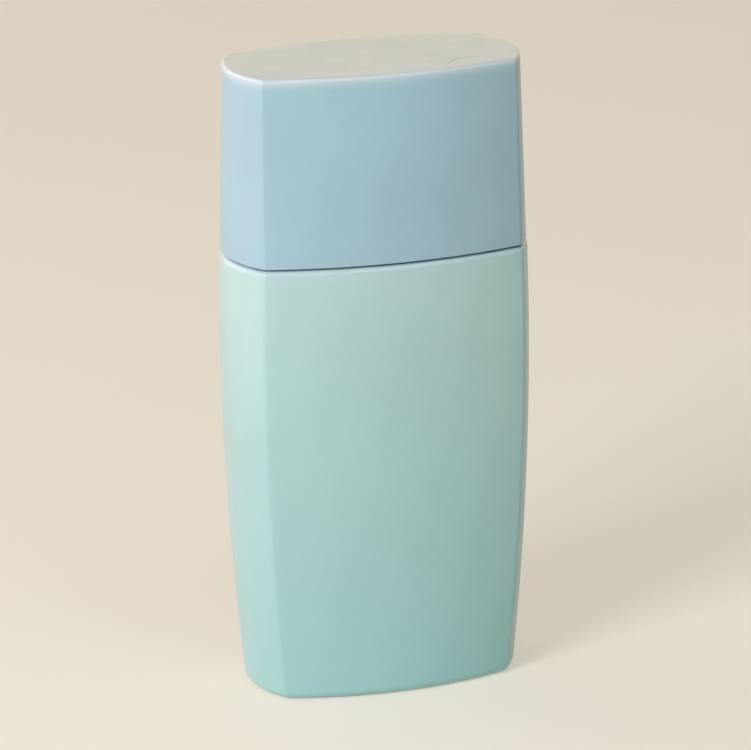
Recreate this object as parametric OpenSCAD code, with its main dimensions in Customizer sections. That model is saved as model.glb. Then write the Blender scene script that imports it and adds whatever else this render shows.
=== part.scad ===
// Flat sunscreen bottle of about 50 ml: a blown body, a pull-off cap and the small lotion pump that the cap covers.
// Millimetres. X runs across the width, the front faces -Y, and Z rises from the surface that the bottle stands on.

/* [Body] */
// Height of the body, up to the ledge that the cap comes down to
body_h = 67.2; // [58:0.1:120]
// Width of the body at its widest level
body_w = 46.7; // [44:0.1:80]
// Width of the body at its base
base_w = 41.3; // [36:0.1:80]
// Height of the widest level above the base
widest_z = 52; // [40:1:66]
// Depth of the body from front to back at its top
body_d = 26.4; // [25:0.1:50]
// Depth of the body at its base
base_d = 24; // [21:0.1:50]
// Rise of the front and back faces from their upright edges to their middle
front_crown = 3.1; // [1.5:0.1:5]
// Rise of the two sides from their upright edges to their middle
side_crown = 3.2; // [1.5:0.1:4.5]
// Radius of the four upright edges
corner_r = 1.3; // [1:0.1:3]
// Radius round the top rim of the body
rim_r = 0.9; // [0.3:0.1:1.3]
// Radius round the bottom edge of the body
foot_r = 1.4; // [1:0.1:5]
// Width of the flat ring that the bottle stands on
foot_land = 1.6; // [1:0.1:3]
// Height of the hollow under the base
push_up = 0.8; // [0.4:0.1:1.5]
// Thickness of the blown wall
wall = 1.2; // [0.8:0.1:2]
// Height of the raised step on the shoulder that centres the cap
step_h = 2.4; // [1.5:0.1:4]

/* [Cap] */
// Thickness of the cap's side wall
cap_wall = 1.3; // [0.9:0.1:1.6]
// Thickness of the cap's top
cap_top_t = 1.3; // [0.9:0.1:3]
// How far each side of the cap leans in over its height
cap_draft = 0.8; // [0:0.1:1.2]
// How far the cap's face lies behind the body's rim
cap_setback = 0.15; // [0.1:0.05:0.5]
// Radius round the top edge of the cap
cap_edge_r = 0.5; // [0.3:0.1:1.3]
// Height of the dark seam between the cap and the body
seam_gap = 0.3; // [0.1:0.05:0.6]
// Thickness of the plate, sleeve and webs of the liner inside the cap
liner_t = 0.8; // [0.6:0.1:1]
// Number of grip ribs round the inside of the liner's sleeve
grip_ribs = 6; // [3:1:12]
// Width of one grip rib
grip_rib_w = 1; // [0.6:0.1:2]
// Free height over the pump head when the cap is on
headroom = 1.8; // [0.4:0.1:5]

/* [Neck and collar] */
// Height of the neck above the step
neck_h = 7; // [6:0.1:12]
// Thickness of the neck's wall
neck_wall = 1.6; // [1.2:0.1:2.4]
// How far the snap bead stands out from the neck
bead_reach = 0.7; // [0.4:0.1:0.9]
// Height of the snap bead
bead_h = 2.1; // [1.6:0.1:3]
// Height of the neck's top edge above the snap bead
bead_drop = 1.6; // [1:0.1:2.4]
// Chamfer round the neck's top edge
neck_edge = 0.2; // [0.1:0.05:0.4]
// Thickness of the collar's skirt
collar_wall = 1; // [0.8:0.1:1.4]
// Height of the hook inside the skirt, under the bead
hook_h = 0.5; // [0.3:0.1:1]
// Thickness of the collar's top
collar_top_t = 1.1; // [0.8:0.1:2]
// Thickness of the wall of the collar's turret
turret_wall = 0.8; // [0.6:0.1:1.2]
// How far the turret reaches up into the pump head at rest
turret_lap = 0.3; // [0.1:0.1:1]
// Thickness of the gasket on the neck
gasket_t = 0.9; // [0.5:0.1:1.5]

/* [Pump] */
// Bore that the piston runs in
barrel_bore = 9.2; // [8.8:0.1:10]
// Thickness of the wall of the pump housing
housing_wall = 1.1; // [0.8:0.1:1.4]
// Thickness of the housing's flange
flange_t = 2; // [1.6:0.1:3]
// Thickness of the retainer's own flange, let into the housing
retainer_t = 0.8; // [0.6:0.1:1.2]
// How far the retainer's flange reaches past the barrel
retainer_reach = 0.4; // [0.2:0.1:0.8]
// How far the retainer reaches down into the barrel
retainer_depth = 2.5; // [2:0.1:4]
// Travel of the pump head from rest to fully pressed
stroke = 3.2; // [2:0.1:5]
// Height of the piston
piston_h = 5.5; // [4.5:0.1:8]
// Height of each of the piston's two sealing lips
lip_h = 1.2; // [0.8:0.1:1.6]
// Depth of the groove between the piston's lips
lip_relief = 0.6; // [0.3:0.1:0.9]
// Outer diameter of the stem
stem_d = 4.6; // [4:0.1:5]
// Bore of the stem
stem_bore = 2.6; // [2:0.1:3]
// Thickness of the piston core's flange
core_t = 1.2; // [0.8:0.1:2]
// How far the core's flange stands out from the stem
core_reach = 1.1; // [0.6:0.1:1.4]
// Length of the core's stub inside the stem
stub_h = 4; // [2.5:0.1:6]
// Length of the core's pin inside the spring
pin_h = 3; // [1.5:0.1:4]
// Diameter of the vent hole in the barrel's wall
vent_d = 0.8; // [0.5:0.1:1]

/* [Valve and spring] */
// Diameter of the inlet ball
ball_d = 3; // [2.6:0.1:3.2]
// Lift of the inlet ball off its seat
ball_lift = 1; // [0.6:0.1:1.5]
// Diameter of the inlet hole under the ball
inlet_d = 1.8; // [1.2:0.1:2]
// Thickness of the floor between the ball's seat and the dip tube
inlet_t = 0.6; // [0.4:0.1:1]
// Thickness of the lip that keeps the ball in its chamber
cage_t = 0.6; // [0.4:0.1:1]
// How far that lip reaches over the ball
cage_reach = 0.2; // [0.1:0.05:0.3]
// Diameter of the spring's wire
wire_d = 0.6; // [0.4:0.05:0.7]
// Number of turns of the spring
spring_turns = 7; // [5:0.5:8]
// Height of the spring between its seat and the core's flange
spring_h = 11.7; // [11:0.1:16]
// How far the spring lies inside the edge of the core's flange
spring_rim = 0.5; // [0.3:0.1:0.6]
// Outer diameter of the dip tube
tube_d = 3.2; // [3:0.1:4]
// Thickness of the dip tube's wall
tube_wall = 0.5; // [0.4:0.1:0.8]
// Depth of the socket that holds the dip tube
socket_h = 5.5; // [4:0.1:8]
// Slope of the cut at the tube's lower end
tube_cut = 30; // [0:5:50]

/* [Pump head] */
// Thickness of the head's side wall round its cavity
head_wall = 1.6; // [1.2:0.1:2.2]
// Thickness of the boss round the stem's socket
boss_wall = 1.2; // [0.8:0.1:1.3]
// Depth of the stem's socket in the boss
stem_socket_h = 3.7; // [3:0.1:5]
// Diameter of the channel to the spout's tip
channel_d = 1.8; // [1.2:0.1:2.2]
// Thickness of the head between its cavity and the channel
roof_t = 0.5; // [0.4:0.1:1]
// Thickness of the head over the channel
pad_t = 1.3; // [1.2:0.1:3]
// Depth of the dish for the fingertip
dish_depth = 0.6; // [0.2:0.1:0.8]
// Radius of the dish's curve
dish_r = 18; // [12:1:40]
// How far the spout's tip lies behind the collar's edge
spout_back = 1.3; // [0.8:0.1:2]
// Diameter of the spout at its tip
spout_tip_d = 3.2; // [3:0.1:3.6]
// Diameter of the spout at its root
spout_root_d = 4.2; // [3.8:0.1:4.4]
// Radius round the top edge of the head
head_edge_r = 1; // [0.4:0.1:1.5]

/* [Fits] */
// Gap between the step and the inside of the cap
step_fit = 0.2; // [0.1:0.05:0.4]
// Gap between the liner and the walls of the cap
liner_fit = 0.1; // [0.05:0.05:0.2]
// Gap between the grip ribs and the collar
grip_fit = 0.05; // [0.03:0.01:0.1]
// Gap between the sleeve and the collar, beside the ribs
sleeve_gap = 0.3; // [0.2:0.05:0.4]
// Gap of a part that slides or turns in a bore
running_fit = 0.05; // [0.02:0.01:0.1]
// Gap left between parts that move past each other
clearance = 0.4; // [0.3:0.05:0.5]
// Gap between the ball and the wall of its chamber
ball_play = 0.3; // [0.2:0.05:0.5]
// Gap between the ball at rest and its seat
seat_fit = 0.03; // [0.01:0.01:0.05]
// Gap between the snapped parts of the collar and the neck
snap_fit = 0.1; // [0.05:0.05:0.2]
// Gap between the barrel and the neck's bore
neck_gap = 0.4; // [0.3:0.1:0.8]
// Gap along the axis where the piston meets its stops
axial_gap = 0.1; // [0.05:0.05:0.2]
// Height of the dip tube's tip above the floor of the bottle
floor_gap = 1; // [0.5:0.1:3]

/* [Hidden] */
$fn = 96;
// A little more than nothing, so that one cut passes right through another
cut = 0.5;
// Steps round each stretch of the outline and each rounded edge
side_steps = 5;
corner_steps = 4;
front_steps = 7;
round_steps = 5;
wall_steps = 10;
// Smallest radius that an inner corner keeps
inner_r = 0.5;
// Chamfer round the top of the step
step_edge = 0.4;

// Heights, from the ledge upwards
step_z = body_h + step_h;
neck_z = step_z + neck_h;
bead_top_z = neck_z - bead_drop;
bead_z = bead_top_z - bead_h;
skirt_z = step_z + clearance;
flange_z = neck_z + gasket_t;
collar_z = flange_z + flange_t;
collar_top_z = collar_z + collar_top_t;
head_z = collar_top_z + stroke + clearance;
turret_z = head_z + turret_lap;
cavity_z = turret_z + stroke + clearance;
channel_z = cavity_z + roof_t + channel_d / 2;
head_top_z = channel_z + channel_d / 2 + pad_t;
liner_z = head_top_z + headroom;
cap_inner_z = liner_z + liner_t;
cap_top_z = cap_inner_z + cap_top_t;
cap_z = body_h + seam_gap;
cap_h = cap_top_z - cap_z;
boss_z = turret_z + clearance;
stem_top_z = boss_z + stem_socket_h;

// Heights, from the flange down into the bottle
retainer_z = collar_z - retainer_t;
piston_top_z = retainer_z - retainer_depth - axial_gap;
piston_z = piston_top_z - piston_h;
core_z = piston_z - axial_gap;
core_under_z = core_z - core_t;
barrel_z = core_under_z - stroke - axial_gap;
spring_z = core_under_z - spring_h;
cage_z = spring_z - cage_t;
ball_top_z = cage_z - axial_gap - ball_lift;
ball_z = ball_top_z - ball_d / 2;
floor_z = push_up + wall;

// Radii, from the pump's axis outwards
barrel_r = barrel_bore / 2;
housing_r = barrel_r + housing_wall;
neck_bore_r = housing_r + neck_gap;
neck_r = neck_bore_r + neck_wall;
bead_r = neck_r + bead_reach;
collar_bore_r = bead_r + snap_fit;
collar_r = collar_bore_r + collar_wall;
sleeve_r = collar_r + sleeve_gap;
rib_r = collar_r + grip_fit;
spout_reach = collar_r - spout_back;
retainer_r = housing_r + retainer_reach;
flange_r = collar_bore_r - snap_fit;
stem_r = stem_d / 2;
guide_r = stem_r + running_fit;
piston_r = barrel_r - running_fit;
core_r = stem_r + core_reach;
boss_r = stem_r + boss_wall;
turret_bore_r = boss_r + clearance;
turret_r = turret_bore_r + turret_wall;
cavity_r = turret_r + clearance;
head_r = cavity_r + head_wall;
coil_r = core_r - spring_rim - wire_d / 2;
well_r = coil_r + wire_d / 2 + clearance;
pin_r = coil_r - wire_d / 2 - clearance;
cage_r = ball_d / 2 - cage_reach;
ball_chamber_r = ball_d / 2 + ball_play;
tube_r = tube_d / 2;
tail_r = max(tube_r, ball_chamber_r) + housing_wall;

// The seat is a cone of 45 degrees, and the ball lies a hair off it
seat_apex_z = ball_z - (ball_d / 2 + seat_fit) * sqrt(2);
seat_z = seat_apex_z + inlet_d / 2;
seat_top_z = seat_apex_z + ball_chamber_r;
tube_top_z = seat_z - inlet_t;
tube_z = floor_z + floor_gap;

// A shape is [half width, half depth, front radius, side radius, corner radius]
function crown_radius(half_chord, rise) = (half_chord * half_chord + rise * rise) / (2 * rise);
function half_width(z) = body_w / 2 - (body_w - base_w) / 2 * pow((z - widest_z) / widest_z, 2);
function half_depth(z) = body_d / 2 - (body_d - base_d) / 2 * pow(1 - z / body_h, 2);
function body_shape(z) =
    let (half_w = half_width(min(z, body_h)), half_d = half_depth(min(z, body_h)))
    [half_w, half_d, crown_radius(half_w - side_crown, front_crown),
     crown_radius(half_d - front_crown, side_crown), corner_r];
function inset(shape, t) =
    [shape[0] - t, shape[1] - t, shape[2] - t, shape[3] - t, max(shape[4] - t, inner_r)];
function cap_shape(z) = inset(body_shape(body_h), cap_setback + cap_draft * (z - cap_z) / cap_h);

// The fillet of an upright edge touches the front arc and the side arc from inside
function fillet_centre(front, side, front_reach, side_reach) =
    let (line = side - front, span = norm(line), along = line / span,
         run = (front_reach * front_reach - side_reach * side_reach + span * span) / (2 * span),
         rise = sqrt(front_reach * front_reach - run * run))
    front + run * along + rise * [along[1], -along[0]];
function arc(centre, r, from, to, steps) =
    [for (i = [0:steps]) let (a = from + (to - from) * i / steps) centre + r * [cos(a), sin(a)]];
function quarter(shape) =
    let (front = [0, shape[1] - shape[2]], side = [shape[0] - shape[3], 0], r = shape[4],
         centre = fillet_centre(front, side, shape[2] - r, shape[3] - r),
         side_a = atan2(centre[1] - side[1], centre[0] - side[0]),
         front_a = atan2(centre[1] - front[1], centre[0] - front[0]))
    concat(arc(side, shape[3], 0, side_a, side_steps),
           [for (i = [1:corner_steps - 1]) arc(centre, r, side_a, front_a, corner_steps)[i]],
           arc(front, shape[2], front_a, 90, front_steps));
function outline(shape) =
    let (points = quarter(shape), last = len(points) - 1)
    concat([for (i = [0:last - 1]) points[i]],
           [for (i = [last:-1:1]) [-points[i][0], points[i][1]]],
           [for (i = [0:last - 1]) -points[i]],
           [for (i = [last:-1:1]) [points[i][0], -points[i][1]]]);

// Each section is [height, shape], from the lowest to the highest
module loft(sections) {
    rings = [for (s = sections) outline(s[1])];
    count = len(rings[0]);
    top = len(rings) - 1;
    points = [for (k = [0:top]) for (p = rings[k]) [p[0], p[1], sections[k][0]]];
    sides = [for (k = [0:top - 1]) for (i = [0:count - 1])
        let (a = k * count + i, b = k * count + (i + 1) % count)
        for (face = [[a, a + count, b], [b, a + count, b + count]]) face];
    floor_face = [for (i = [0:count - 1]) i];
    top_face = [for (i = [count - 1:-1:0]) top * count + i];
    polyhedron(points, concat([floor_face], sides, [top_face]));
}

// Quarter rounds, as [height, inset] pairs: one that opens upwards from a foot and one that closes towards a top
function foot_round(z, r) = [for (i = [0:round_steps]) let (a = 90 * i / round_steps)
    [z + r * (1 - cos(a)), r * (1 - sin(a))]];
function top_round(z, r) = [for (i = [0:round_steps]) let (a = 90 * i / round_steps)
    [z - r * (1 - sin(a)), r * (1 - cos(a))]];
// Corner points of a turned profile, rounded by r and centred at [x, z]
function turned_round(x, z, r, from, to) = arc([x, z], r, from, to, round_steps);

// Body
step_inset = cap_setback + cap_wall + step_fit;

module body_outside() {
    levels = concat(
        foot_round(0, foot_r),
        [for (i = [1:wall_steps - 1]) [foot_r + (body_h - rim_r - foot_r) * i / wall_steps, 0]],
        top_round(body_h, rim_r),
        [[body_h, step_inset], [step_z - step_edge, step_inset], [step_z, step_inset + step_edge]]);
    loft([for (l = levels) [l[0], inset(body_shape(l[0]), l[1])]]);
}

module body_inside() {
    inner_foot_r = max(foot_r - wall, inner_r);
    shoulder_z = body_h - wall;
    levels = concat(
        [for (l = foot_round(floor_z, inner_foot_r)) [l[0], l[1] + wall]],
        [for (i = [1:wall_steps - 1])
            [floor_z + inner_foot_r + (shoulder_z - rim_r - floor_z - inner_foot_r) * i / wall_steps, wall]],
        [for (l = top_round(shoulder_z, rim_r)) [l[0], l[1] + wall]],
        [[shoulder_z, step_inset + wall], [step_z - wall, step_inset + wall]]);
    loft([for (l = levels) [l[0], inset(body_shape(l[0]), l[1])]]);
}

module neck() {
    rotate_extrude()
        polygon([[0, step_z - wall], [neck_r, step_z - wall], [neck_r, bead_z],
                 [bead_r, bead_z + bead_reach / 2], [bead_r, bead_top_z - bead_reach], [neck_r, bead_top_z],
                 [neck_r, neck_z - neck_edge], [neck_r - neck_edge, neck_z], [0, neck_z]]);
}

module bottle() {
    color("#bcdcd8")
    difference() {
        union() {
            body_outside();
            neck();
        }
        body_inside();
        translate([0, 0, step_z - 2 * wall])
            cylinder(r = neck_bore_r, h = neck_z - step_z + 2 * wall + cut);
        translate([0, 0, -cut])
            linear_extrude(push_up + cut)
                polygon(outline(inset(body_shape(0), foot_r + foot_land)));
    }
}

// Cap
module cap_inside(gap) {
    levels = [[cap_z - cut, 0], [cap_inner_z - inner_r, 0], [cap_inner_z, inner_r]];
    loft([for (l = levels) [l[0], inset(cap_shape(l[0]), cap_wall + gap + l[1])]]);
}

module overcap() {
    levels = concat([[cap_z, 0]], top_round(cap_top_z, cap_edge_r));
    color("#a8c3d3")
    difference() {
        loft([for (l = levels) [l[0], inset(cap_shape(l[0]), l[1])]]);
        cap_inside(0);
    }
}

module cap_liner() {
    sleeve_h = cap_inner_z - skirt_z;
    rib_h = collar_z - skirt_z;
    color("#dfe9ee")
    intersection() {
        cap_inside(liner_fit);
        union() {
            translate([-body_w / 2, -body_d / 2, liner_z])
                cube([body_w, body_d, liner_t]);
            difference() {
                union() {
                    translate([0, 0, skirt_z])
                        cylinder(r = sleeve_r + liner_t, h = sleeve_h);
                    translate([-body_w / 2, -liner_t / 2, skirt_z])
                        cube([body_w, liner_t, sleeve_h]);
                }
                translate([0, 0, skirt_z - cut])
                    cylinder(r = sleeve_r, h = liner_z - skirt_z + cut);
            }
            intersection() {
                for (i = [0:grip_ribs - 1])
                    rotate(360 * (i + 0.5) / grip_ribs)
                        translate([0, -grip_rib_w / 2, skirt_z])
                            cube([sleeve_r + liner_t, grip_rib_w, rib_h]);
                translate([0, 0, skirt_z])
                    difference() {
                        cylinder(r = sleeve_r + liner_t / 2, h = rib_h);
                        translate([0, 0, -cut])
                            cylinder(r = rib_r, h = rib_h + 2 * cut);
                    }
            }
        }
    }
}

// Closure
module collar() {
    hook_r = neck_r + snap_fit;
    hook_z = bead_z - snap_fit;
    edge_r = collar_wall / 2;
    rim_edge_r = turret_wall / 3;
    color("#f4f6f5")
    rotate_extrude()
        polygon(concat(
            [[turret_bore_r, collar_z], [collar_bore_r, collar_z], [collar_bore_r, hook_z + bead_reach / 2],
             [hook_r, hook_z], [hook_r, hook_z - hook_h], [collar_bore_r, skirt_z], [collar_r, skirt_z]],
            turned_round(collar_r - edge_r, collar_top_z - edge_r, edge_r, 0, 90),
            [[turret_r, collar_top_z]],
            turned_round(turret_r - rim_edge_r, turret_z - rim_edge_r, rim_edge_r, 0, 90),
            [[turret_bore_r, turret_z]]));
}

module neck_gasket() {
    color("#e7e9e4")
    translate([0, 0, neck_z])
        difference() {
            cylinder(r = neck_r - snap_fit, h = gasket_t);
            translate([0, 0, -cut])
                cylinder(r = housing_r + snap_fit, h = gasket_t + 2 * cut);
        }
}

// Pump
module pump_housing() {
    well_outer_r = well_r + housing_wall;
    color("#f3f5f2")
    difference() {
        rotate_extrude()
            polygon([[0, tube_top_z - socket_h], [tail_r, tube_top_z - socket_h], [tail_r, cage_z - housing_wall],
                     [well_outer_r, cage_z], [well_outer_r, barrel_z - housing_wall], [housing_r, barrel_z],
                     [housing_r, flange_z], [flange_r, flange_z], [flange_r, collar_z], [0, collar_z]]);
        translate([0, 0, retainer_z])
            cylinder(r = retainer_r, h = retainer_t + cut);
        translate([0, 0, barrel_z])
            cylinder(r = barrel_r, h = collar_z - barrel_z + cut);
        translate([0, 0, spring_z])
            cylinder(r = well_r, h = barrel_z - spring_z + cut);
        translate([0, 0, cage_z - cut])
            cylinder(r = cage_r, h = cage_t + 2 * cut);
        translate([0, 0, seat_top_z])
            cylinder(r = ball_chamber_r, h = cage_z - seat_top_z);
        translate([0, 0, seat_z])
            cylinder(r1 = inlet_d / 2, r2 = ball_chamber_r, h = seat_top_z - seat_z);
        translate([0, 0, tube_top_z - cut])
            cylinder(r = inlet_d / 2, h = seat_z - tube_top_z + 2 * cut);
        translate([0, 0, tube_top_z - socket_h - cut])
            cylinder(r = tube_r, h = socket_h + cut);
        translate([0, 0, piston_z + piston_h / 2])
            rotate([0, 90, 0])
                cylinder(d = vent_d, h = housing_r + cut);
    }
}

module retainer() {
    color("#eceeea")
    difference() {
        union() {
            translate([0, 0, retainer_z])
                cylinder(r = retainer_r, h = retainer_t);
            translate([0, 0, retainer_z - retainer_depth])
                cylinder(r = barrel_r, h = retainer_depth + retainer_t / 2);
        }
        translate([0, 0, retainer_z - retainer_depth - cut])
            cylinder(r = guide_r, h = retainer_depth + retainer_t + 2 * cut);
    }
}

module piston() {
    waist_r = piston_r - lip_relief;
    color("#d9dcd6")
    difference() {
        rotate_extrude()
            polygon([[0, piston_z], [piston_r, piston_z], [piston_r, piston_z + lip_h],
                     [waist_r, piston_z + lip_h + lip_relief], [waist_r, piston_top_z - lip_h - lip_relief],
                     [piston_r, piston_top_z - lip_h], [piston_r, piston_top_z], [0, piston_top_z]]);
        translate([0, 0, piston_z - cut])
            cylinder(r = guide_r, h = piston_h + 2 * cut);
    }
}

module stem() {
    port = stem_bore / 2;
    color("#f1f3f0")
    difference() {
        translate([0, 0, core_z])
            cylinder(r = stem_r, h = stem_top_z - core_z);
        translate([0, 0, core_z - cut])
            cylinder(d = stem_bore, h = stem_top_z - core_z + 2 * cut);
        translate([-stem_d, -port / 2, core_z - cut])
            cube([2 * stem_d, port, port + cut]);
    }
}

module piston_core() {
    flute = stem_bore / 4;
    color("#e3e6e1")
    union() {
        difference() {
            translate([0, 0, core_z - core_t / 2])
                cylinder(d = stem_bore, h = stub_h + core_t / 2);
            for (side = [-1, 1])
                translate([side * stem_bore / 2 - flute, -flute / 2, core_z])
                    cube([2 * flute, flute, stub_h + cut]);
        }
        translate([0, 0, core_under_z])
            cylinder(r = core_r, h = core_t);
        translate([0, 0, core_under_z - pin_h])
            cylinder(r = pin_r, h = pin_h + core_t / 2);
    }
}

module return_spring() {
    rings_a_turn = 8;
    wire_sides = 6;
    rings = round(spring_turns * rings_a_turn);
    climb = spring_h - wire_d;
    echo(spring_self_gap = climb / spring_turns - wire_d);
    points = [for (k = [0:rings]) for (i = [0:wire_sides - 1])
        let (turn = 360 * spring_turns * k / rings, a = 360 * i / wire_sides, r = coil_r + wire_d / 2 * cos(a))
        [r * cos(turn), r * sin(turn), spring_z + wire_d / 2 + climb * k / rings + wire_d / 2 * sin(a)]];
    sides = [for (k = [0:rings - 1]) for (i = [0:wire_sides - 1])
        let (a = k * wire_sides + i, b = k * wire_sides + (i + 1) % wire_sides)
        for (face = [[a, b, a + wire_sides], [b, b + wire_sides, a + wire_sides]]) face];
    first_end = [for (i = [wire_sides - 1:-1:0]) i];
    last_end = [for (i = [0:wire_sides - 1]) rings * wire_sides + i];
    color("silver")
        polyhedron(points, concat([first_end], sides, [last_end]));
}

module inlet_ball() {
    color("#c9ccd0")
    translate([0, 0, ball_z])
        sphere(d = ball_d);
}

module dip_tube() {
    color("#eef2f0")
    difference() {
        translate([0, 0, tube_z])
            cylinder(r = tube_r, h = tube_top_z - tube_z);
        translate([0, 0, tube_z - cut])
            cylinder(r = tube_r - tube_wall, h = tube_top_z - tube_z + 2 * cut);
        translate([-tube_r, 0, tube_z])
            rotate([0, -tube_cut, 0])
                translate([-tube_d, -tube_d, -2 * tube_d])
                    cube([4 * tube_d, 2 * tube_d, 2 * tube_d]);
    }
}

module pump_head() {
    skirt_r = head_edge_r / 2;
    color("#fbfcfb")
    difference() {
        union() {
            rotate_extrude()
                polygon(concat(
                    [[0, head_z], [head_r - skirt_r, head_z]],
                    turned_round(head_r - skirt_r, head_z + skirt_r, skirt_r, -90, 0),
                    turned_round(head_r - head_edge_r, head_top_z - head_edge_r, head_edge_r, 0, 90),
                    [[0, head_top_z]]));
            translate([0, 0, channel_z])
                rotate([90, 0, 0])
                    cylinder(d1 = spout_root_d, d2 = spout_tip_d, h = spout_reach);
        }
        difference() {
            translate([0, 0, head_z - cut])
                cylinder(r = cavity_r, h = cavity_z - head_z + cut);
            translate([0, 0, boss_z])
                cylinder(r = boss_r, h = cavity_z - boss_z + cut);
        }
        translate([0, 0, boss_z - cut])
            cylinder(r = stem_r, h = stem_top_z - boss_z + cut);
        translate([0, 0, stem_top_z - cut])
            cylinder(d = channel_d, h = channel_z - stem_top_z + cut);
        translate([0, 0, channel_z])
            rotate([90, 0, 0])
                cylinder(d = channel_d, h = spout_reach + cut);
        translate([0, 0, head_top_z + dish_r - dish_depth])
            sphere(r = dish_r);
    }
}

bottle();
overcap();
cap_liner();
collar();
neck_gasket();
pump_housing();
retainer();
stem();
piston();
piston_core();
return_spring();
inlet_ball();
dip_tube();
pump_head();
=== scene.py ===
"""A flat sunscreen bottle with its cap on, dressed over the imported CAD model."""

import math

import bpy
import numpy as np
from mathutils import Matrix, Vector


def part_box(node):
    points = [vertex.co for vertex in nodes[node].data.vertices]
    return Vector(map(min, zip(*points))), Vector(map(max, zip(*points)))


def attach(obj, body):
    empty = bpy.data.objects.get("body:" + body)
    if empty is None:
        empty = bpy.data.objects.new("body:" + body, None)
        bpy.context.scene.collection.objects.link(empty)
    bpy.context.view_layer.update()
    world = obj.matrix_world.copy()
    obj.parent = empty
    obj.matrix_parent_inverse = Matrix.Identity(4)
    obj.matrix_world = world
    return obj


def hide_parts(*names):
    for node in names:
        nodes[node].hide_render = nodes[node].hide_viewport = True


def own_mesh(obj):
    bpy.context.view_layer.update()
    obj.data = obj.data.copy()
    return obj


MM = 0.001

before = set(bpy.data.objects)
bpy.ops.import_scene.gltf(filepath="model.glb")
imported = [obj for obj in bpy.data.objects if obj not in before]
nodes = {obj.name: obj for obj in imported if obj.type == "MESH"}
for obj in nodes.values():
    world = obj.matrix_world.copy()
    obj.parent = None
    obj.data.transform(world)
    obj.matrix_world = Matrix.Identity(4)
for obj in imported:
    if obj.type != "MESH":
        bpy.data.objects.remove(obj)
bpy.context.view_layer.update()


# Sizes, in millimetres, as in the CAD source

BODY_H = 67.2
BODY_W = 46.7
BASE_W = 41.3
WIDEST_Z = 52
BODY_D = 26.4
BASE_D = 24
FRONT_CROWN = 3.1
SIDE_CROWN = 3.2
CORNER_R = 1.3
RIM_R = 0.9
FOOT_R = 1.4
FOOT_LAND = 1.6
PUSH_UP = 0.8
WALL = 1.2
STEP_H = 2.4
STEP_EDGE = 0.4
STEP_FIT = 0.2
INNER_R = 0.5
RECESS_R = 0.4
LAND_R = 0.15
LEDGE_FILLET_R = 0.2

CAP_WALL = 1.3
CAP_TOP_T = 1.3
CAP_DRAFT = 0.8
CAP_SETBACK = 0.15
CAP_EDGE_R = 0.5
CAP_LIP_R = 0.15
SEAM_GAP = 0.3

NECK_H = 7
NECK_R = 7.7
NECK_BORE_R = 6.1
NECK_EDGE = 0.2
BEAD_REACH = 0.7
BEAD_H = 2.1
BEAD_DROP = 1.6
BEAD_EDGE = 0.1
NECK_FILLET_R = 0.4
NECK_FILLET_START = 0.8

CAP_Z = BODY_H + SEAM_GAP
STEP_Z = BODY_H + STEP_H
NECK_Z = STEP_Z + NECK_H
CAP_TOP_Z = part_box("overcap")[1].z / MM
CAP_INNER_Z = CAP_TOP_Z - CAP_TOP_T
CAP_H = CAP_TOP_Z - CAP_Z
STEP_INSET = CAP_SETBACK + CAP_WALL + STEP_FIT

# Points along each stretch of a quarter outline
SIDE_STEPS = 14
CORNER_STEPS = 10
FRONT_STEPS = 26

# Rings along rounded edges, from those that show to those that hardly do
ROUND_STEPS = 10
EDGE_STEPS = 5
SMALL_STEPS = 4

# Levels of rings up each wall
BODY_LEVELS = 60
BODY_INNER_LEVELS = 24
CAP_LEVELS = 14
CAP_INNER_LEVELS = 10

# How far in the rings of a flat face lie
FLAT_INSET = 7
RECESS_SHARES = (0.9, 0.5, 0.2)
STEP_TOP_INSET = 1.5
CAP_TOP_INSETS = (9, 6, 3, 1.5)

# Above this angle in degrees an edge is drawn sharp
SHARP_ANGLE = 32


# Outlines: a shape is [half width, half depth, front radius, side radius, corner radius]


def crown_radius(half_chord, rise):
    return (half_chord**2 + rise**2) / (2 * rise)


def half_width(z):
    return BODY_W / 2 - (BODY_W - BASE_W) / 2 * ((z - WIDEST_Z) / WIDEST_Z) ** 2


def half_depth(z):
    return BODY_D / 2 - (BODY_D - BASE_D) / 2 * (1 - z / BODY_H) ** 2


def body_shape(z):
    half_w = half_width(min(z, BODY_H))
    half_d = half_depth(min(z, BODY_H))
    front_r = crown_radius(half_w - SIDE_CROWN, FRONT_CROWN)
    side_r = crown_radius(half_d - FRONT_CROWN, SIDE_CROWN)
    return [half_w, half_d, front_r, side_r, CORNER_R]


def inset(shape, distance):
    moved = [value - distance for value in shape[:4]]
    return moved + [max(shape[4] - distance, INNER_R)]


def cap_shape(z):
    lean = CAP_DRAFT * (z - CAP_Z) / CAP_H
    return inset(body_shape(BODY_H), CAP_SETBACK + lean)


def arc(centre, radius, start, end, steps):
    angles = np.linspace(start, end, steps + 1)
    return np.stack([centre[0] + radius * np.cos(angles), centre[1] + radius * np.sin(angles)], axis=1)


def quarter(shape):
    """The outline from the right side's middle to the back's: a side arc, a fillet and a front arc."""
    half_w, half_d, front_r, side_r, corner_r = shape
    front = np.array([0, half_d - front_r])
    side = np.array([half_w - side_r, 0])
    line = side - front
    span = np.hypot(*line)
    along = line / span
    front_reach = front_r - corner_r
    side_reach = side_r - corner_r
    run = (front_reach**2 - side_reach**2 + span**2) / (2 * span)
    rise = math.sqrt(front_reach**2 - run**2)
    corner = front + run * along + rise * np.array([along[1], -along[0]])
    side_angle = math.atan2(*(corner - side)[::-1])
    front_angle = math.atan2(*(corner - front)[::-1])
    stretches = [
        arc(side, side_r, 0, side_angle, SIDE_STEPS),
        arc(corner, corner_r, side_angle, front_angle, CORNER_STEPS)[1:-1],
        arc(front, front_r, front_angle, math.pi / 2, FRONT_STEPS),
    ]
    return np.concatenate(stretches)


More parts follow.
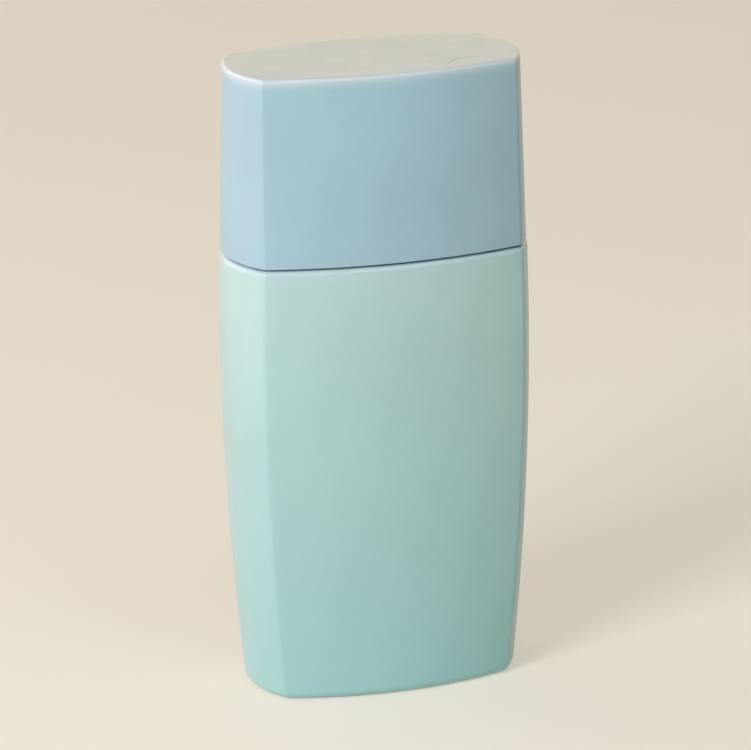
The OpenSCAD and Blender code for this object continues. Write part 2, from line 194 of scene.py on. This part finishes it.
def outline(shape):
    points = quarter(shape)
    first = points[:-1]
    mirrored = points[:0:-1]
    return np.concatenate([first, mirrored * [-1, 1], -first, mirrored * [1, -1]])


def ring(shape, z):
    points = outline(shape)
    return np.column_stack([points, np.full(len(points), z)])


def round_ring(radius, z, guide):
    """A circle whose points lie in the same directions as those of a guide ring."""
    angles = np.arctan2(guide[:, 1], guide[:, 0])
    return np.column_stack([radius * np.cos(angles), radius * np.sin(angles), np.full(len(angles), z)])


def rounded(radius, start, end, steps=ROUND_STEPS):
    """Offsets (sideways, up) along a quarter circle of that radius about its centre."""
    angles = np.linspace(math.radians(start), math.radians(end), steps + 1)
    return [(radius * math.cos(a), radius * math.sin(a)) for a in angles]


def shell(name, rings):
    """A closed mesh from a chain of rings, with a middle point at each end."""
    count = len(rings[0])
    first_middle = rings[0].mean(axis=0)
    last_middle = rings[-1].mean(axis=0)
    points = np.concatenate([[first_middle], *rings, [last_middle]]) * MM
    faces = [(0, 1 + (i + 1) % count, 1 + i) for i in range(count)]
    for level in range(len(rings) - 1):
        low = 1 + level * count
        high = low + count
        for i in range(count):
            j = (i + 1) % count
            faces.append((low + i, low + j, high + j, high + i))
    last = 1 + (len(rings) - 1) * count
    end = len(points) - 1
    faces += [(end, last + i, last + (i + 1) % count) for i in range(count)]
    mesh = bpy.data.meshes.new(name)
    mesh.from_pydata(points.tolist(), [], faces)
    mesh.validate()
    mesh.shade_smooth()
    mesh.set_sharp_from_angle(angle=math.radians(SHARP_ANGLE))
    piece = bpy.data.objects.new(name, mesh)
    bpy.context.scene.collection.objects.link(piece)
    return piece


# Materials

# Moulded plastic: scales of its noises, and heights in millimetres
CLOUD_SCALE = 55
CLOUD_DETAIL = 3
CLOUD_LOW = 0.35
CLOUD_HIGH = 0.65
GLOSS_SCALE = 260
GLOSS_DETAIL = 4
GLOSS_LESS = 0.05
GLOSS_MORE = 0.06
RIPPLE_SCALE = 70
RIPPLE_DETAIL = 1
RIPPLE_STRENGTH = 0.12
RIPPLE_H = 0.4
PEEL_SCALE = 2600
PEEL_DETAIL = 2
PEEL_H = 0.03
PLASTIC_IOR = 1.49
COAT_ROUGHNESS = 0.18
MILK_COLOURS = (1, 0.9, 0.8)
MILK_DEPTH = 0.8

# Steel: drawn streaks, thin along Z
STREAK_DETAIL = 3
STREAK_STRETCH = (1, 1, 6)
STREAK_LESS = 0.05
STREAK_MORE = 0.08
STREAK_H = 0.02

# The roughness of a noise, and the span that its values mostly lie in
NOISE_ROUGHNESS = 0.6
NOISE_LOW = 0.3
NOISE_HIGH = 0.7


def new_material(name):
    material = bpy.data.materials.new(name)
    material.use_nodes = True
    tree = material.node_tree
    return material, tree, tree.nodes["Principled BSDF"]


def linear(red, green, blue):
    """A screen colour of 0 to 255, as the shader takes it."""
    values = [v / 255 for v in (red, green, blue)]
    return [v / 12.92 if v <= 0.04045 else ((v + 0.055) / 1.055) ** 2.4 for v in values] + [1]


def shade(colour, factor):
    return [min(v * factor, 1) for v in colour[:3]] + [1]


def noise(tree, scale, detail=2, roughness=0.5, stretch=(1, 1, 1)):
    coords = tree.nodes.new("ShaderNodeTexCoord")
    mapping = tree.nodes.new("ShaderNodeMapping")
    mapping.inputs["Scale"].default_value = stretch
    texture = tree.nodes.new("ShaderNodeTexNoise")
    texture.inputs["Scale"].default_value = scale
    texture.inputs["Detail"].default_value = detail
    texture.inputs["Roughness"].default_value = roughness
    tree.links.new(coords.outputs["Object"], mapping.inputs["Vector"])
    tree.links.new(mapping.outputs["Vector"], texture.inputs["Vector"])
    return texture.outputs["Fac"]


def remap(tree, value, low, high, to_low, to_high):
    node = tree.nodes.new("ShaderNodeMapRange")
    node.inputs["From Min"].default_value = low
    node.inputs["From Max"].default_value = high
    node.inputs["To Min"].default_value = to_low
    node.inputs["To Max"].default_value = to_high
    tree.links.new(value, node.inputs["Value"])
    return node.outputs["Result"]


def blend_colours(tree, factor, first, second):
    node = tree.nodes.new("ShaderNodeMix")
    node.data_type = "RGBA"
    tree.links.new(factor, node.inputs["Factor"])
    for socket, colour in ((node.inputs[6], first), (node.inputs[7], second)):
        if isinstance(colour, bpy.types.NodeSocket):
            tree.links.new(colour, socket)
        else:
            socket.default_value = colour
    return node.outputs[2]


def place(tree):
    """Where a point lies on its piece, as the sockets x, y and z."""
    coords = tree.nodes.new("ShaderNodeTexCoord")
    split = tree.nodes.new("ShaderNodeSeparateXYZ")
    tree.links.new(coords.outputs["Object"], split.inputs[0])
    return split.outputs


def calculate(tree, operation, *values):
    node = tree.nodes.new("ShaderNodeMath")
    node.operation = operation
    for socket, value in zip(node.inputs, values):
        if isinstance(value, bpy.types.NodeSocket):
            tree.links.new(value, socket)
        else:
            socket.default_value = value
    return node.outputs[0]


def distance_from(tree, point):
    """How far a point of the surface lies from one given in millimetres."""
    coords = tree.nodes.new("ShaderNodeTexCoord")
    node = tree.nodes.new("ShaderNodeVectorMath")
    node.operation = "DISTANCE"
    node.inputs[1].default_value = [v * MM for v in point]
    tree.links.new(coords.outputs["Object"], node.inputs[0])
    return node.outputs["Value"]


def between(tree, value, low, high, soft):
    """1 where a value lies between two limits, 0 outside, with soft ends."""
    rising = remap(tree, value, low - soft, low + soft, 0, 1)
    falling = remap(tree, value, high - soft, high + soft, 1, 0)
    return calculate(tree, "MULTIPLY", rising, falling)


def bump(tree, height, strength, distance, normal=None):
    node = tree.nodes.new("ShaderNodeBump")
    node.inputs["Strength"].default_value = strength
    node.inputs["Distance"].default_value = distance
    tree.links.new(height, node.inputs["Height"])
    if normal is not None:
        tree.links.new(normal, node.inputs["Normal"])
    return node.outputs["Normal"]


def near_edge(tree, low, high, end, gone):
    """1 at a height in millimetres, fading to 0 below it and, over a shorter way, above it."""
    z = place(tree)["Z"]
    rising = remap(tree, z, low * MM, high * MM, 0, 1)
    falling = remap(tree, z, end * MM, gone * MM, 1, 0)
    return calculate(tree, "MULTIPLY", calculate(tree, "MULTIPLY", rising, rising), falling)


def moulded_plastic(name, colour, roughness, cloud=0.03, peel=0.06, depth=0.0, coat=0.0,
                    foot_shade=None, edge_highlight=None, marks=None, nib=None):
    """Moulded plastic: clouded colour, uneven gloss, the ripple of a moulded wall and a fine peel."""
    material, tree, shader = new_material(name)
    clouds = remap(tree, noise(tree, CLOUD_SCALE, CLOUD_DETAIL), CLOUD_LOW, CLOUD_HIGH, 0, 1)
    tint = blend_colours(tree, clouds, shade(colour, 1 - cloud), shade(colour, 1 + cloud))
    # Painted shade: the colour turns darker and bluer towards the foot, as the wall's pale sheen fades
    if foot_shade:
        height = remap(tree, place(tree)["Z"], 0, BODY_H * MM, 0, 1)
        tint = blend_colours(tree, height, foot_shade, tint)
    # Painted highlight: a paler colour painted along an edge
    if edge_highlight:
        highlight_colour, heights = edge_highlight
        tint = blend_colours(tree, near_edge(tree, *heights), tint, highlight_colour)
    if marks:
        tint = blend_colours(tree, marks(tree), tint, shade(colour, MARK_SHADE))
    tree.links.new(tint, shader.inputs["Base Color"])
    uneven = noise(tree, GLOSS_SCALE, GLOSS_DETAIL, NOISE_ROUGHNESS)
    gloss = remap(tree, uneven, NOISE_LOW, NOISE_HIGH, roughness - GLOSS_LESS, roughness + GLOSS_MORE)
    tree.links.new(gloss, shader.inputs["Roughness"])
    ripple = bump(tree, noise(tree, RIPPLE_SCALE, RIPPLE_DETAIL), RIPPLE_STRENGTH, RIPPLE_H * MM)
    skin = bump(tree, noise(tree, PEEL_SCALE, PEEL_DETAIL), peel, PEEL_H * MM, ripple)
    if nib:
        peak = remap(tree, distance_from(tree, nib), 0, NIB_R * MM, 1, 0)
        skin = bump(tree, peak, 1, NIB_H * MM, skin)
    tree.links.new(skin, shader.inputs["Normal"])
    shader.inputs["IOR"].default_value = PLASTIC_IOR
    if coat:
        shader.inputs["Coat Weight"].default_value = coat
        shader.inputs["Coat Roughness"].default_value = COAT_ROUGHNESS
    if depth:
        shader.inputs["Subsurface Weight"].default_value = depth
        shader.inputs["Subsurface Radius"].default_value = MILK_COLOURS
        shader.inputs["Subsurface Scale"].default_value = MILK_DEPTH * MM
        shader.subsurface_method = "BURLEY"
    return material


# The body's colour fades to the foot colour at its foot: painted shade, standing in for the pale sheen that
# fades down the wall
BODY_COLOUR = linear(174, 208, 208)
FOOT_SHADE_COLOUR = linear(154, 200, 201)
CAP_COLOUR = linear(155, 189, 204)

# Painted highlight: the plastic's colour is painted paler along the cap's top edge and the body's rim,
# where light catches them: a colour and four heights
CAP_HIGHLIGHT_HEIGHTS = (CAP_TOP_Z - 2, CAP_TOP_Z - 0.35, CAP_TOP_Z - 0.06, CAP_TOP_Z - 0.005)
BODY_HIGHLIGHT_HEIGHTS = (BODY_H - 1.8, BODY_H - 0.4, BODY_H, BODY_H + 2)
CAP_EDGE_HIGHLIGHT = (linear(193, 209, 217), CAP_HIGHLIGHT_HEIGHTS)
BODY_RIM_HIGHLIGHT = (linear(177, 202, 210), BODY_HIGHLIGHT_HEIGHTS)

# Small marks: a scratch and a speck on the cap's top, a speck on its front, a nib on the body's front.
# The scratch is an arc, with its angles in degrees, and a speck is a place and a strength
MARK_SHADE = 0.55
SCRATCH_CENTRE = (14.5, -11.7)
SCRATCH_R = 6.2
SCRATCH_START = 94
SCRATCH_MIDDLE = 128
SCRATCH_END = 147
SCRATCH_THIN = 0.2
SCRATCH_WIDE = 0.6
SCRATCH_CORE = 0.5
SCRATCH_FADE = 1.2
SCRATCH_STRENGTH = 0.9
SCRATCH_END_FADE = 5
TOP_DEPTH = 0.2
TOP_CLEAR = 0.1
SPECKS = [((9.2, -8.7, 95.6), 0.8), ((-8.6, -11.8, 91.5), 0.3)]
SPECK_R = 0.28
NIB = (5.75, -12.95, 63.9)
NIB_R = 0.4
NIB_H = 0.03


def cap_marks(tree):
    x, y, z = place(tree)
    across = calculate(tree, "SUBTRACT", x, SCRATCH_CENTRE[0] * MM)
    along = calculate(tree, "SUBTRACT", y, SCRATCH_CENTRE[1] * MM)
    squares = [calculate(tree, "MULTIPLY", side, side) for side in (across, along)]
    reach = calculate(tree, "SQRT", calculate(tree, "ADD", *squares))
    angle = calculate(tree, "ARCTAN2", along, across)
    start, middle, end = [math.radians(a) for a in (SCRATCH_START, SCRATCH_MIDDLE, SCRATCH_END)]
    half = remap(tree, angle, start, middle, SCRATCH_THIN / 2 * MM, SCRATCH_WIDE / 2 * MM)
    off = calculate(tree, "ABSOLUTE", calculate(tree, "SUBTRACT", reach, SCRATCH_R * MM))
    share = calculate(tree, "DIVIDE", off, half)
    line = remap(tree, share, SCRATCH_CORE, SCRATCH_FADE, SCRATCH_STRENGTH, 0)
    ends = between(tree, angle, start, end, math.radians(SCRATCH_END_FADE))
    on_top = remap(tree, z, (CAP_TOP_Z - TOP_DEPTH) * MM, (CAP_TOP_Z - TOP_CLEAR) * MM, 0, 1)
    marks = calculate(tree, "MULTIPLY", calculate(tree, "MULTIPLY", line, ends), on_top)
    for speck, strength in SPECKS:
        spot = remap(tree, distance_from(tree, speck), 0, SPECK_R * MM, strength, 0)
        marks = calculate(tree, "MAXIMUM", marks, spot)
    return marks


BODY_FINISH = {"roughness": 0.34, "depth": 0.3, "coat": 0.35}
LINER_COLOUR = linear(224, 233, 238)
WHITE_COLOUR = linear(240, 242, 240)
PUMP_COLOUR = linear(232, 235, 230)
PISTON_COLOUR = linear(214, 219, 212)
FOAM_COLOUR = linear(224, 227, 219)
TUBE_COLOUR = linear(230, 237, 232)

body_plastic = moulded_plastic("body_plastic", BODY_COLOUR, foot_shade=FOOT_SHADE_COLOUR, edge_highlight=BODY_RIM_HIGHLIGHT,
                               nib=NIB, **BODY_FINISH)
cap_plastic = moulded_plastic("cap_plastic", CAP_COLOUR, edge_highlight=CAP_EDGE_HIGHLIGHT, marks=cap_marks, **BODY_FINISH)
liner_plastic = moulded_plastic("liner_plastic", LINER_COLOUR, roughness=0.45)
white_plastic = moulded_plastic("white_plastic", WHITE_COLOUR, roughness=0.34, cloud=0.01)
pump_plastic = moulded_plastic("pump_plastic", PUMP_COLOUR, roughness=0.42, depth=0.3)
piston_plastic = moulded_plastic("piston_plastic", PISTON_COLOUR, roughness=0.5, depth=0.3)
gasket_foam = moulded_plastic("gasket_foam", FOAM_COLOUR, roughness=0.85, cloud=0.05, peel=0.6)
tube_plastic = moulded_plastic("tube_plastic", TUBE_COLOUR, roughness=0.34, depth=0.4)


STEEL_DARK = linear(188, 190, 194)
STEEL_LIGHT = linear(222, 223, 225)


def steel(name, roughness, grain, strength):
    material, tree, shader = new_material(name)
    streaks = noise(tree, grain, STREAK_DETAIL, NOISE_ROUGHNESS, STREAK_STRETCH)
    tint = blend_colours(tree, streaks, STEEL_DARK, STEEL_LIGHT)
    tree.links.new(tint, shader.inputs["Base Color"])
    gloss = remap(tree, streaks, NOISE_LOW, NOISE_HIGH, roughness - STREAK_LESS, roughness + STREAK_MORE)
    tree.links.new(gloss, shader.inputs["Roughness"])
    tree.links.new(bump(tree, streaks, strength, STREAK_H * MM), shader.inputs["Normal"])
    shader.inputs["Metallic"].default_value = 1
    return material


spring_steel = steel("spring_steel", roughness=0.34, grain=900, strength=0.2)
ball_steel = steel("ball_steel", roughness=0.12, grain=300, strength=0.05)

NODE_MATERIALS = {
    "cap_liner": liner_plastic,
    "collar": white_plastic,
    "pump_head": white_plastic,
    "neck_gasket": gasket_foam,
    "pump_housing": pump_plastic,
    "retainer": pump_plastic,
    "stem": pump_plastic,
    "piston_core": pump_plastic,
    "piston": piston_plastic,
    "return_spring": spring_steel,
    "inlet_ball": ball_steel,
    "dip_tube": tube_plastic,
}
for node_name, material in NODE_MATERIALS.items():
    node = nodes[node_name]
    node.data.materials.clear()
    node.data.materials.append(material)


# Bottle


def bottle_rings():
    base = body_shape(0)
    recess_inset = FOOT_R + FOOT_LAND
    rings = [ring(inset(base, recess_inset + share * FLAT_INSET), PUSH_UP) for share in RECESS_SHARES]
    for side, up in rounded(RECESS_R, 90, 0):
        rings.append(ring(inset(base, recess_inset + RECESS_R - side), PUSH_UP - RECESS_R + up))
    for side, up in rounded(LAND_R, 180, 270, SMALL_STEPS):
        rings.append(ring(inset(base, recess_inset - LAND_R - side), LAND_R + up))
    for side, up in rounded(FOOT_R, 270, 360):
        z = FOOT_R + up
        rings.append(ring(inset(body_shape(z), FOOT_R - side), z))
    for z in np.linspace(FOOT_R, BODY_H - RIM_R, BODY_LEVELS)[1:-1]:
        rings.append(ring(body_shape(z), z))
    for side, up in rounded(RIM_R, 0, 90):
        z = BODY_H - RIM_R + up
        rings.append(ring(inset(body_shape(z), RIM_R - side), z))
    ledge = body_shape(BODY_H)
    for side, up in rounded(LEDGE_FILLET_R, 270, 180, SMALL_STEPS):
        rings.append(ring(inset(ledge, STEP_INSET - LEDGE_FILLET_R - side), BODY_H + LEDGE_FILLET_R + up))
    for side, up in rounded(STEP_EDGE, 0, 90, EDGE_STEPS):
        rings.append(ring(inset(ledge, STEP_INSET + STEP_EDGE - side), STEP_Z - STEP_EDGE + up))
    rings.append(ring(inset(ledge, STEP_INSET + STEP_TOP_INSET), STEP_Z))
    guide = rings[-1]
    profile = [(NECK_R + NECK_FILLET_START, STEP_Z)]
    for side, up in rounded(NECK_FILLET_R, 270, 180, SMALL_STEPS):
        profile.append((NECK_R + NECK_FILLET_R + side, STEP_Z + NECK_FILLET_R + up))
    bead_top = NECK_Z - BEAD_DROP
    bead_low = bead_top - BEAD_H
    bead_r = NECK_R + BEAD_REACH
    profile += [
        (NECK_R, bead_low),
        (bead_r - BEAD_EDGE, bead_low + BEAD_REACH / 2 - BEAD_EDGE / 2),
        (bead_r, bead_low + BEAD_REACH / 2 + BEAD_EDGE),
        (bead_r, bead_top - BEAD_REACH - BEAD_EDGE),
        (bead_r - BEAD_EDGE, bead_top - BEAD_REACH + BEAD_EDGE),
        (NECK_R, bead_top),
        (NECK_R, NECK_Z - NECK_EDGE),
        (NECK_R - NECK_EDGE, NECK_Z),
        (NECK_BORE_R + NECK_EDGE / 2, NECK_Z),
        (NECK_BORE_R, NECK_Z - NECK_EDGE / 2),
        (NECK_BORE_R, STEP_Z - WALL),
    ]
    rings += [round_ring(radius, z, guide) for radius, z in profile]
    inner_step = STEP_INSET + WALL
    rings.append(ring(inset(ledge, inner_step), STEP_Z - WALL))
    shoulder_z = BODY_H - WALL
    rings.append(ring(inset(ledge, inner_step), shoulder_z))
    for side, up in rounded(RIM_R, 90, 0, EDGE_STEPS):
        z = shoulder_z - RIM_R + up
        rings.append(ring(inset(body_shape(z), WALL + RIM_R - side), z))
    floor_z = PUSH_UP + WALL
    for z in np.linspace(shoulder_z - RIM_R, floor_z + INNER_R, BODY_INNER_LEVELS)[1:-1]:
        rings.append(ring(inset(body_shape(z), WALL), z))
    for side, up in rounded(INNER_R, 0, -90, SMALL_STEPS):
        z = floor_z + INNER_R + up
        rings.append(ring(inset(body_shape(z), WALL + INNER_R - side), z))
    rings.append(ring(inset(body_shape(floor_z), WALL + FLAT_INSET), floor_z))
    return rings


bottle_shell = shell("bottle_shell", bottle_rings())
bottle_shell.data.materials.append(body_plastic)
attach(bottle_shell, "bottle")
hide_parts("bottle")


# Cap


def cap_rings():
    top = cap_shape(CAP_TOP_Z)
    rings = [ring(inset(top, distance), CAP_TOP_Z) for distance in CAP_TOP_INSETS]
    for side, up in rounded(CAP_EDGE_R, 90, 0):
        z = CAP_TOP_Z - CAP_EDGE_R + up
        rings.append(ring(inset(cap_shape(z), CAP_EDGE_R - side), z))
    for z in np.linspace(CAP_TOP_Z - CAP_EDGE_R, CAP_Z + CAP_LIP_R, CAP_LEVELS)[1:-1]:
        rings.append(ring(cap_shape(z), z))
    for side, up in rounded(CAP_LIP_R, 0, -90, EDGE_STEPS):
        z = CAP_Z + CAP_LIP_R + up
        rings.append(ring(inset(cap_shape(z), CAP_LIP_R - side), z))
    for side, up in rounded(CAP_LIP_R, 270, 180, SMALL_STEPS):
        z = CAP_Z + CAP_LIP_R + up
        rings.append(ring(inset(cap_shape(z), CAP_WALL - CAP_LIP_R - side), z))
    for z in np.linspace(CAP_Z + CAP_LIP_R, CAP_INNER_Z - INNER_R, CAP_INNER_LEVELS)[1:-1]:
        rings.append(ring(inset(cap_shape(z), CAP_WALL), z))
    for side, up in rounded(INNER_R, 0, 90, EDGE_STEPS):
        z = CAP_INNER_Z - INNER_R + up
        rings.append(ring(inset(cap_shape(z), CAP_WALL + INNER_R - side), z))
    rings.append(ring(inset(top, CAP_WALL + FLAT_INSET), CAP_INNER_Z))
    return rings


overcap_shell = shell("overcap_shell", cap_rings()[::-1])
overcap_shell.data.materials.append(cap_plastic)
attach(overcap_shell, "cap")
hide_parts("overcap")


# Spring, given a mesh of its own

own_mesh(nodes["return_spring"])


# Stage

FLOOR_COLOUR = linear(238, 233, 220)
FLOOR_SEEN = linear(240, 234, 220)
FLOOR_SEEN_SHARE = 0.5
FLOOR_HALF = 3
FLOOR_ROUGHNESS = 0.9
GRAIN_SCALE = 40
GRAIN_DETAIL = 4
GRAIN_SHADE = 0.99


def seen_rays(tree):
    """1 for rays from the camera and for those that a reflection or clear plastic sends on, 0 for light."""
    path = tree.nodes.new("ShaderNodeLightPath")
    clear = calculate(tree, "MAXIMUM", path.outputs["Is Glossy Ray"], path.outputs["Is Transmission Ray"])
    return calculate(tree, "MAXIMUM", path.outputs["Is Camera Ray"], clear)


floor_mesh = bpy.data.meshes.new("floor")
corners = [(x * FLOOR_HALF, y * FLOOR_HALF, 0) for x, y in ((-1, -1), (1, -1), (1, 1), (-1, 1))]
floor_mesh.from_pydata(corners, [], [(0, 1, 2, 3)])
floor = bpy.data.objects.new("floor", floor_mesh)
bpy.context.scene.collection.objects.link(floor)
floor_material, floor_tree, floor_shader = new_material("floor_paper")
paper_noise = noise(floor_tree, GRAIN_SCALE, GRAIN_DETAIL)
grain = remap(floor_tree, paper_noise, NOISE_LOW, NOISE_HIGH, 0, 1)
floor_tint = blend_colours(floor_tree, grain, shade(FLOOR_COLOUR, GRAIN_SHADE), FLOOR_COLOUR)
floor_tree.links.new(floor_tint, floor_shader.inputs["Base Color"])
floor_shader.inputs["Roughness"].default_value = FLOOR_ROUGHNESS
pale = floor_tree.nodes.new("ShaderNodeEmission")
pale.inputs["Color"].default_value = FLOOR_SEEN
seen = calculate(floor_tree, "MULTIPLY", seen_rays(floor_tree), FLOOR_SEEN_SHARE)
floor_mix = floor_tree.nodes.new("ShaderNodeMixShader")
floor_tree.links.new(seen, floor_mix.inputs["Fac"])
floor_tree.links.new(floor_shader.outputs[0], floor_mix.inputs[1])
floor_tree.links.new(pale.outputs[0], floor_mix.inputs[2])
floor_output = floor_tree.nodes["Material Output"]
floor_tree.links.new(floor_mix.outputs[0], floor_output.inputs["Surface"])
floor_mesh.materials.append(floor_material)


def lit_world(light, light_strength, background):
    """A world that lights the object evenly, with a pale background for the camera and the gloss."""
    world = bpy.data.worlds.new("studio")
    bpy.context.scene.world = world
    world.use_nodes = True
    tree = world.node_tree
    tree.nodes.clear()
    lamp = tree.nodes.new("ShaderNodeBackground")
    lamp.inputs["Color"].default_value = light
    lamp.inputs["Strength"].default_value = light_strength
    shown = tree.nodes.new("ShaderNodeBackground")
    shown.inputs["Color"].default_value = background
    mix = tree.nodes.new("ShaderNodeMixShader")
    tree.links.new(seen_rays(tree), mix.inputs["Fac"])
    tree.links.new(lamp.outputs[0], mix.inputs[1])
    tree.links.new(shown.outputs[0], mix.inputs[2])
    output = tree.nodes.new("ShaderNodeOutputWorld")
    tree.links.new(mix.outputs[0], output.inputs["Surface"])


WORLD_LIGHT = linear(250, 250, 250)
WORLD_STRENGTH = 0.02
BACKGROUND = linear(250, 228, 198)
lit_world(WORLD_LIGHT, WORLD_STRENGTH, BACKGROUND)

# The point that the lamps face, in metres
AIM = Vector((0, 0, 0.045))

# Name, azimuth and elevation in degrees, distance and size in metres, power in watts, colour
LAMPS = [
    ("key_lamp", -56, 30, 0.8, 0.3, 5.2, (1, 0.92, 0.94)),
    ("side_lamp", -130, 14, 1, 0.9, 5.3, (1, 0.86, 0.82)),
    ("rear_lamp", 165, 34, 1.2, 1.6, 4.3, (1, 0.6, 0.26)),
    ("front_lamp", 0, 48, 1, 0.9, 2.9, (0.73, 1, 0.97)),
    ("top_lamp", 38, 60, 0.9, 0.5, 0.6, (1, 1, 1)),
]


def direction(azimuth, elevation):
    """Away from the object. Azimuth 0 is in front, and it grows towards +X."""
    turn = math.radians(azimuth)
    lift = math.radians(elevation)
    return Vector((math.sin(turn) * math.cos(lift), -math.cos(turn) * math.cos(lift), math.sin(lift)))


def soft_lamp(name, azimuth, elevation, distance, size, power, colour):
    """A square lamp that faces the object."""
    away = direction(azimuth, elevation)
    light = bpy.data.lights.new(name, "AREA")
    light.shape = "SQUARE"
    light.size = size
    light.energy = power
    light.color = colour
    lamp = bpy.data.objects.new(name, light)
    lamp.location = AIM + away * distance
    lamp.rotation_euler = away.to_track_quat("Z", "Y").to_euler()
    lamp.visible_camera = False
    bpy.context.scene.collection.objects.link(lamp)


for lamp_row in LAMPS:
    soft_lamp(*lamp_row)


# Camera, at the photograph's view

FOCAL_PIXELS = 4649
FRAME_PIXELS = 751
SENSOR = 36
VIEW_AZIMUTH = -17.368
VIEW_ELEVATION = 17.156
VIEW_ROLL = -0.828
VIEW_DISTANCE = 695.7
VIEW_CENTRE = (0.018, 46.632)
CLIP_START = 0.01

tip = math.radians(VIEW_ROLL)
back = direction(VIEW_AZIMUTH, VIEW_ELEVATION)
across = direction(VIEW_AZIMUTH + 90, 0)
upward = back.cross(across)
right = across * math.cos(tip) + upward * math.sin(tip)
top = upward * math.cos(tip) - across * math.sin(tip)
centre = across * VIEW_CENTRE[0] + Vector((0, 0, VIEW_CENTRE[1]))
eye = (centre + back * VIEW_DISTANCE) * MM

lens = bpy.data.cameras.new("photo_camera")
lens.sensor_width = SENSOR
lens.lens = FOCAL_PIXELS / FRAME_PIXELS * SENSOR
lens.clip_start = CLIP_START
camera = bpy.data.objects.new("photo_camera", lens)
camera.matrix_world = Matrix.Translation(eye) @ Matrix((right, top, back)).transposed().to_4x4()
bpy.context.scene.collection.objects.link(camera)
bpy.context.scene.camera = camera
bpy.context.scene.view_settings.view_transform = "Standard"
